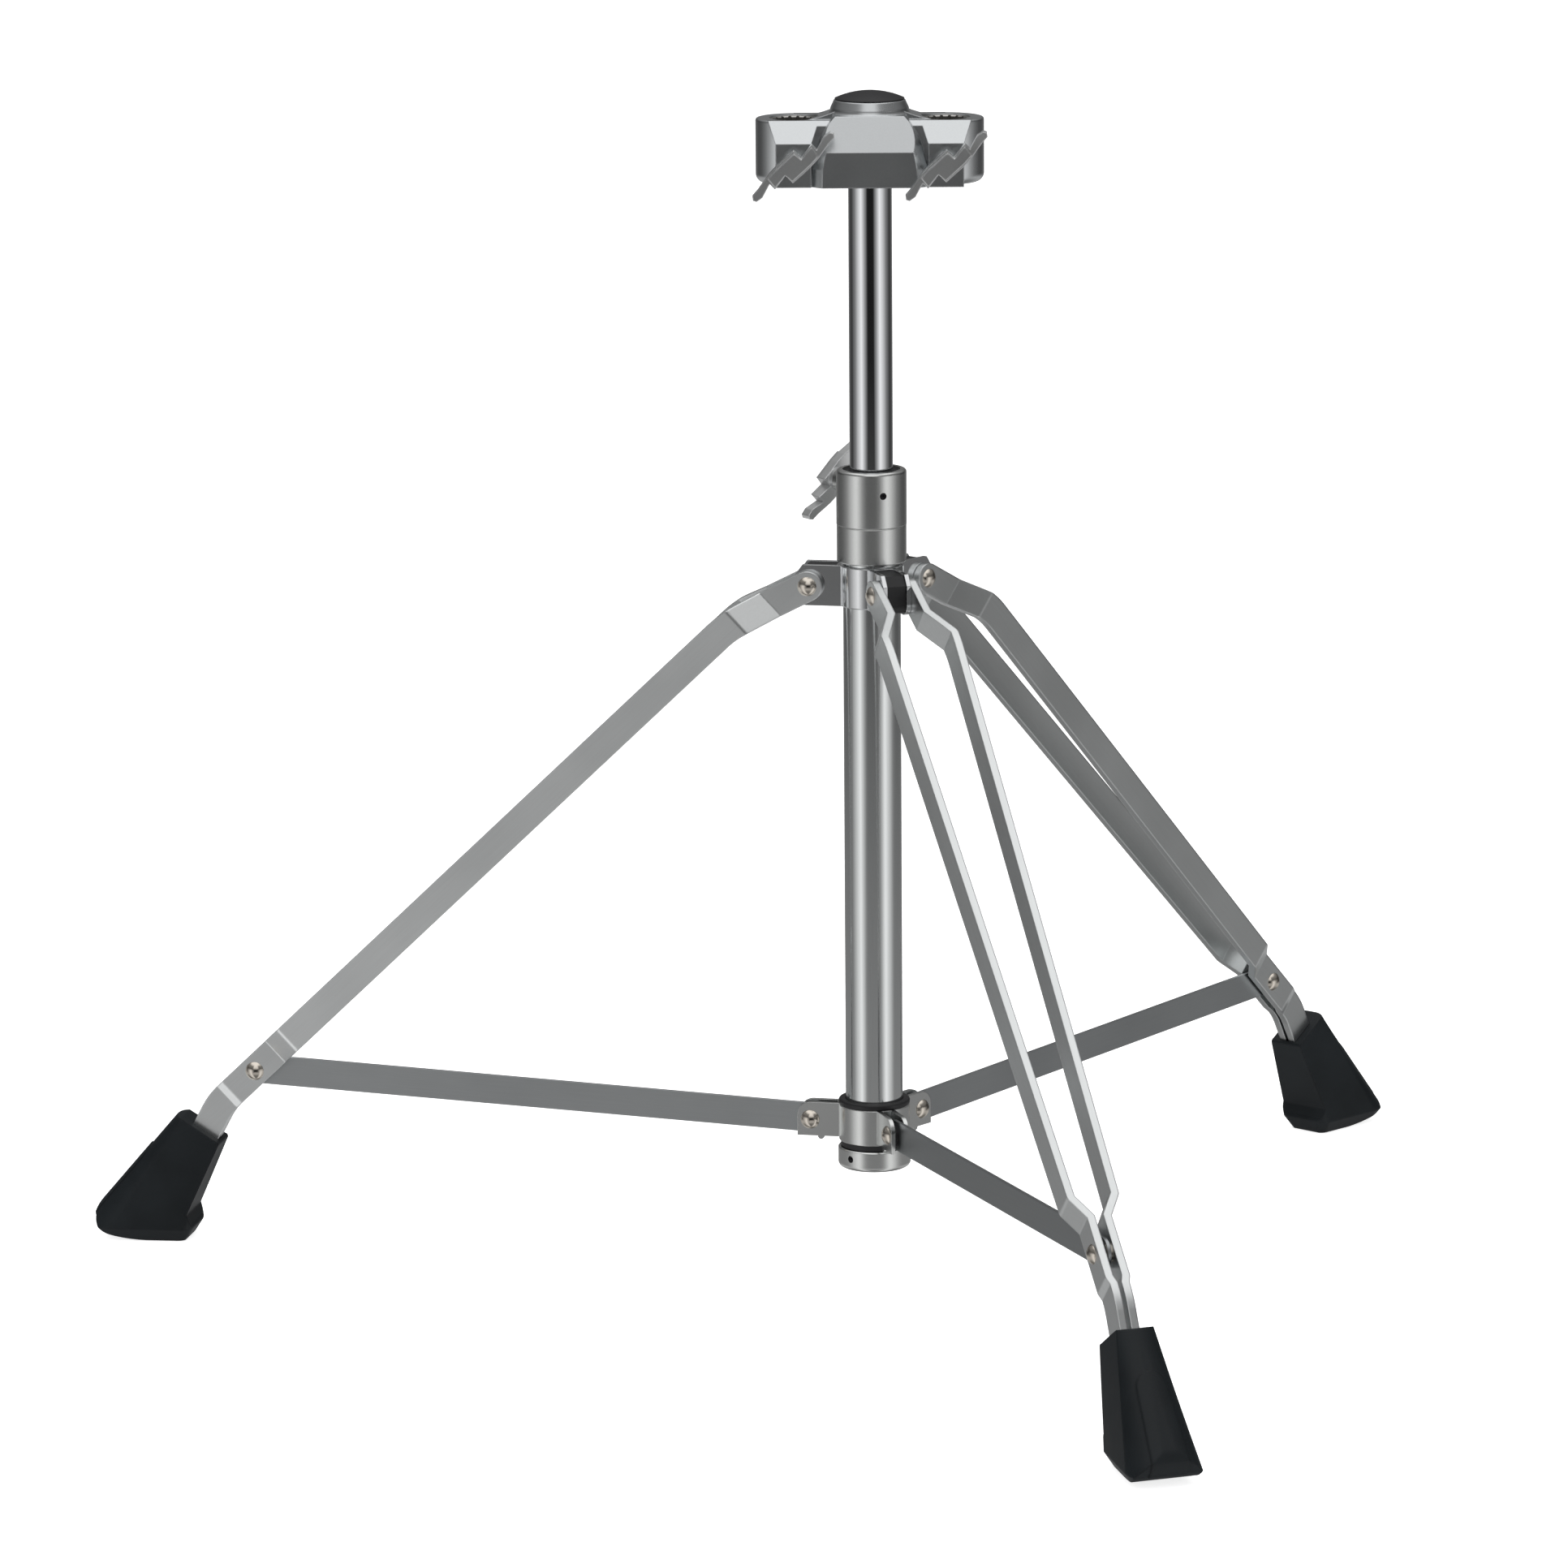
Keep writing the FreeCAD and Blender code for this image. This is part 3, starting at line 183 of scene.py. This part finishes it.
def make_world():
    """Softboxes beside the camera, a bright ceiling, a dimmer ground, and dark gaps between."""
    world = bpy.data.worlds.new("studio")
    bpy.context.scene.world = world
    world.use_nodes = True
    nodes = Nodes(world.node_tree)
    ray = nodes.add("ShaderNodeSeparateXYZ", None,
                    Vector=nodes.add("ShaderNodeTexCoord").outputs["Generated"])
    across, ahead, up = ray.outputs["X"], ray.outputs["Y"], ray.outputs["Z"]
    flipped = nodes.math("MULTIPLY", ahead, -1.0)
    azimuth = nodes.math("ABSOLUTE", nodes.math("ARCTAN2", across, flipped))
    turn = nodes.math("DIVIDE", azimuth, math.pi)
    walls = nodes.ramp(turn, [
        (0.0, 0.012),
        (0.085, 0.014),
        (0.17, 0.32),
        (0.28, 0.95),
        (0.38, 0.62),
        (0.50, 0.22),
        (0.64, 0.05),
        (0.76, 0.06),
        (0.88, 0.22),
        (1.0, 0.3),
    ])
    ceiling = nodes.ramp(nodes.range(up, 0.0, 1.0, 0.0, 1.0), [
        (0.0, 0.0),
        (0.18, 0.1),
        (0.45, 0.78),
        (0.75, 1.0),
        (1.0, 1.08),
    ])
    window = nodes.ramp(turn, [
        (0.0, 1.0),
        (0.11, 1.0),
        (0.19, 0.22),
        (1.0, 0.3),
    ])
    overhead = nodes.range(up, 0.6, 0.85, 0.0, 1.0)
    ceiling = nodes.mix(1.0, ceiling, nodes.math("MAXIMUM", window, overhead), "MULTIPLY")
    ground = nodes.ramp(nodes.range(up, 0.0, -1.0, 0.0, 1.0), [
        (0.0, 0.0),
        (0.15, 0.0),
        (0.21, 0.17),
        (0.3, 0.34),
        (0.42, 0.48),
        (0.6, 0.42),
        (0.75, 0.2),
        (1.0, 0.16),
    ])
    upper = nodes.mix(nodes.range(up, 0.02, 0.28, 0.0, 1.0), walls, ceiling)
    light = nodes.mix(1.0, upper, ground, "LIGHTEN")
    background = nodes.add("ShaderNodeBackground", None, Color=light, Strength=1.0)
    output = nodes.add("ShaderNodeOutputWorld")
    nodes.feed(output.inputs["Surface"], background.outputs[0])


def stage_piece(name, corners, faces, level, glow):
    """A matt, glowing piece of the studio, which the metal doesn't mirror."""
    mesh = bpy.data.meshes.new(name)
    mesh.from_pydata(corners, [], faces)
    piece = bpy.data.objects.new(name, mesh)
    bpy.context.scene.collection.objects.link(piece)
    piece.visible_glossy = False
    material = bpy.data.materials.new(name)
    material.use_nodes = True
    nodes = Nodes(material.node_tree)
    shader = nodes.add("ShaderNodeBsdfPrincipled", None, Base_Color=grey(level),
                       Roughness=STAGE_ROUGHNESS, Emission_Color=grey(1.0),
                       Emission_Strength=glow)
    output = nodes.add("ShaderNodeOutputMaterial")
    nodes.feed(output.inputs["Surface"], shader.outputs[0])
    mesh.materials.append(material)
    return piece


def make_floor():
    half = FLOOR_HALF
    corners = [(-half, -half, 0), (half, -half, 0), (half, half, 0), (-half, half, 0)]
    floor = stage_piece("floor", corners, [(0, 1, 2, 3)], FLOOR_GREY, FLOOR_GLOW)
    floor.location.z = -FLOOR_DROP


def make_wall():
    """A pale wall far round the stand. It lights nothing and shades nothing."""
    turns = [math.tau * number / WALL_FACETS for number in range(WALL_FACETS)]
    ring = [(WALL_DISTANCE * math.cos(turn), WALL_DISTANCE * math.sin(turn)) for turn in turns]
    corners = [(x, y, height) for height in (0.0, WALL_HEIGHT) for x, y in ring]
    faces = []
    for number in range(WALL_FACETS):
        following = (number + 1) % WALL_FACETS
        faces.append((number, following, following + WALL_FACETS, number + WALL_FACETS))
    wall = stage_piece("wall", corners, faces, WALL_GREY, WALL_GLOW)
    wall.visible_diffuse = False
    wall.visible_shadow = False


def make_lights():
    """Three large soft lights: one overhead and one on each side of the camera."""
    for name, place, across, power in LAMPS:
        data = bpy.data.lights.new(f"light_{name}", "AREA")
        data.shape = "DISK"
        data.size = across
        data.energy = power
        light = bpy.data.objects.new(data.name, data)
        light.location = place
        light.rotation_euler = (LAMP_AIM - place).to_track_quat("-Z", "Y").to_euler()
        light.visible_glossy = False
        bpy.context.scene.collection.objects.link(light)


# ---------------------------------------------------------------- materials

def metal(name, colour, rough, spread, scratch, bevel, along=(1.0, 1.0, 1.0), turn=(0.0, 0.0, 0.0),
          grain=0.0, shade=0.06):
    """Plated metal: uneven gloss, fine scratches stretched along the piece, and rounded edges."""
    material = bpy.data.materials.new(name)
    material.use_nodes = True
    nodes = Nodes(material.node_tree)
    point = nodes.place()
    streak = nodes.noise(nodes.stretched(point, along, turn), SCRATCH_SCALE, 4.0, 0.6)
    cloud = nodes.noise(point, CLOUD_SCALE, 2.0)
    tone = nodes.range(nodes.math("ADD", nodes.math("MULTIPLY", streak, 0.5),
                                  nodes.math("MULTIPLY", cloud, 0.5)), 0.35, 0.65, 0.0, 1.0)
    base = nodes.mix(tone, grey(1.0 - shade, colour), grey(1.0, colour))
    gloss = nodes.range(cloud, 0.3, 0.7, rough - spread, rough + spread)
    rounded = nodes.add("ShaderNodeBevel", {"samples": METAL_EDGE_SAMPLES},
                        Radius=bevel).outputs[0]
    normal = nodes.add("ShaderNodeBump", None, Strength=scratch, Distance=METAL_BUMP,
                       Height=streak, Normal=rounded).outputs[0]
    if grain:
        speckle = nodes.noise(point, SPECKLE_SCALE, 2.0)
        normal = nodes.add("ShaderNodeBump", None, Strength=grain, Distance=METAL_BUMP,
                           Height=speckle, Normal=normal).outputs[0]
    shader = nodes.add("ShaderNodeBsdfPrincipled", None, Base_Color=base, Metallic=1.0,
                       Roughness=gloss, Normal=normal)
    output = nodes.add("ShaderNodeOutputMaterial")
    nodes.feed(output.inputs["Surface"], shader.outputs[0])
    return material


def moulded(name, colour, rough, grain, grain_size, bevel, specular):
    """Moulded rubber or nylon: a fine grain, faint dust and rounded edges."""
    material = bpy.data.materials.new(name)
    material.use_nodes = True
    nodes = Nodes(material.node_tree)
    point = nodes.place()
    fine = nodes.noise(point, 1.0 / grain_size, 2.0, 0.6)
    wide = nodes.noise(point, DUST_SCALE, 4.0)
    base = nodes.mix(nodes.range(wide, 0.35, 0.7, 0.0, 1.0), grey(0.8, colour), grey(1.25, colour))
    gloss = nodes.range(wide, 0.3, 0.7, rough - 0.06, rough + 0.06)
    rounded = nodes.add("ShaderNodeBevel", {"samples": MOULDED_EDGE_SAMPLES},
                        Radius=bevel).outputs[0]
    normal = nodes.add("ShaderNodeBump", None, Strength=grain, Distance=MOULDED_BUMP,
                       Height=fine, Normal=rounded).outputs[0]
    shader = nodes.add("ShaderNodeBsdfPrincipled", None, Base_Color=base, Roughness=gloss,
                       Specular_IOR_Level=specular, Normal=normal)
    output = nodes.add("ShaderNodeOutputMaterial")
    nodes.feed(output.inputs["Surface"], shader.outputs[0])
    return material


def paint(material, *names):
    """Gives each named piece of the stand this one material."""
    for name in names:
        slots = frame["nodes"][name].data.materials
        slots.clear()
        slots.append(material)


def for_sides(*patterns):
    """The patterns' names on all three sides."""
    return [pattern.format(side) for side in SIDES for pattern in patterns]


def lengthwise_turn(side, slope):
    """The turn that brings a leg's or a brace's long direction onto X."""
    across = FOLD_AXES[f"leg_{side}"]
    outward = across.cross(Vector((0, 0, 1)))
    angle = math.radians(slope)
    along = outward * math.cos(angle) - Vector((0, 0, math.sin(angle)))
    return Matrix((along, across, along.cross(across))).to_euler()


def finish_nodes():
    paint(metal("mirror_chrome", (0.86, 0.87, 0.89), 0.045, 0.02, 0.02, 0.0003, UPRIGHT),
          "upper_tube")
    paint(metal("tube_chrome", (0.82, 0.84, 0.84), 0.11, 0.03, 0.04, 0.0003, UPRIGHT),
          "lower_tube")
    paint(metal("polished_casting", (0.67, 0.69, 0.7), 0.29, 0.03, 0.02, 0.0009), "head_casting")
    paint(metal("pearl_nickel", (0.76, 0.77, 0.76), 0.25, 0.03, 0.03, 0.0005, grain=0.05),
          "mast_sleeve", "lower_hub", "end_ring")
    paint(metal("hub_chrome", (0.78, 0.79, 0.8), 0.1, 0.03, 0.02, 0.0006), "upper_hub")
    paint(metal("wing_cast", (0.9, 0.91, 0.91), 0.36, 0.05, 0.03, 0.0011), "wing_left",
          "wing_right", "wing_sleeve")
    paint(metal("rivet_nickel", (0.76, 0.7, 0.62), 0.17, 0.04, 0.02, 0.0003),
          *for_sides("leg_{}_pivot", "leg_{}_knee_a", "leg_{}_knee_b", "hub_pin_{}"))
    paint(metal("screw_zinc", (0.4, 0.4, 0.4), 0.3, 0.05, 0.03, 0.0003),
          "screw_left", "screw_right", "screw_sleeve", "shoe_left", "shoe_right", "shoe_sleeve")
    # The two set screws in their holes are coloured near-black.
    paint(metal("near_black_screw", (0.05, 0.05, 0.055), 0.4, 0.05, 0.03, 0.0003, shade=0.2),
          "end_ring_screw", "sleeve_screw")
    paint(metal("machined_steel", (0.5, 0.49, 0.47), 0.28, 0.05, 0.03, 0.0003),
          "receiver_left", "receiver_right")
    # Each side gets a lit or shaded copy of the one plating: painted light and shade.
    for side, leg_painted_light, brace_painted_light in zip(SIDES, LEG_PAINTED_LIGHT, BRACE_PAINTED_LIGHT):
        paint(metal(f"leg_{side}_plate_painted_light", (leg_painted_light, leg_painted_light + 0.02, leg_painted_light + 0.02),
                    0.31, 0.03, 0.05, 0.0013, LENGTHWISE, lengthwise_turn(side, LEG_SLOPE)),
              f"leg_{side}_bar_a", f"leg_{side}_bar_b")
        paint(metal(f"brace_{side}_plate_painted_light", (brace_painted_light, brace_painted_light + 0.02, brace_painted_light + 0.03),
                    0.33, 0.03, 0.05, 0.0006, LENGTHWISE, lengthwise_turn(side, BRACE_SLOPE)),
              f"brace_{side}")
    nylon = moulded("black_nylon", (0.012, 0.012, 0.013), 0.42, 0.03, 0.0006, 0.0004, 0.4)
    paint(nylon, "sleeve_bush", "hub_bush", "mast_guide", "head_cap",
          *for_sides("hub_spacer_{}", "brace_{}_bush"))
    paint(moulded("foot_rubber", (0.0056, 0.0078, 0.0095), 0.5, 0.1, 0.0007, 0.0022, 0.28),
          *for_sides("leg_{}_foot"))


make_camera()
make_world()
make_floor()
make_wall()
make_lights()
finish_nodes()
bpy.context.scene.view_settings.view_transform = "Standard"
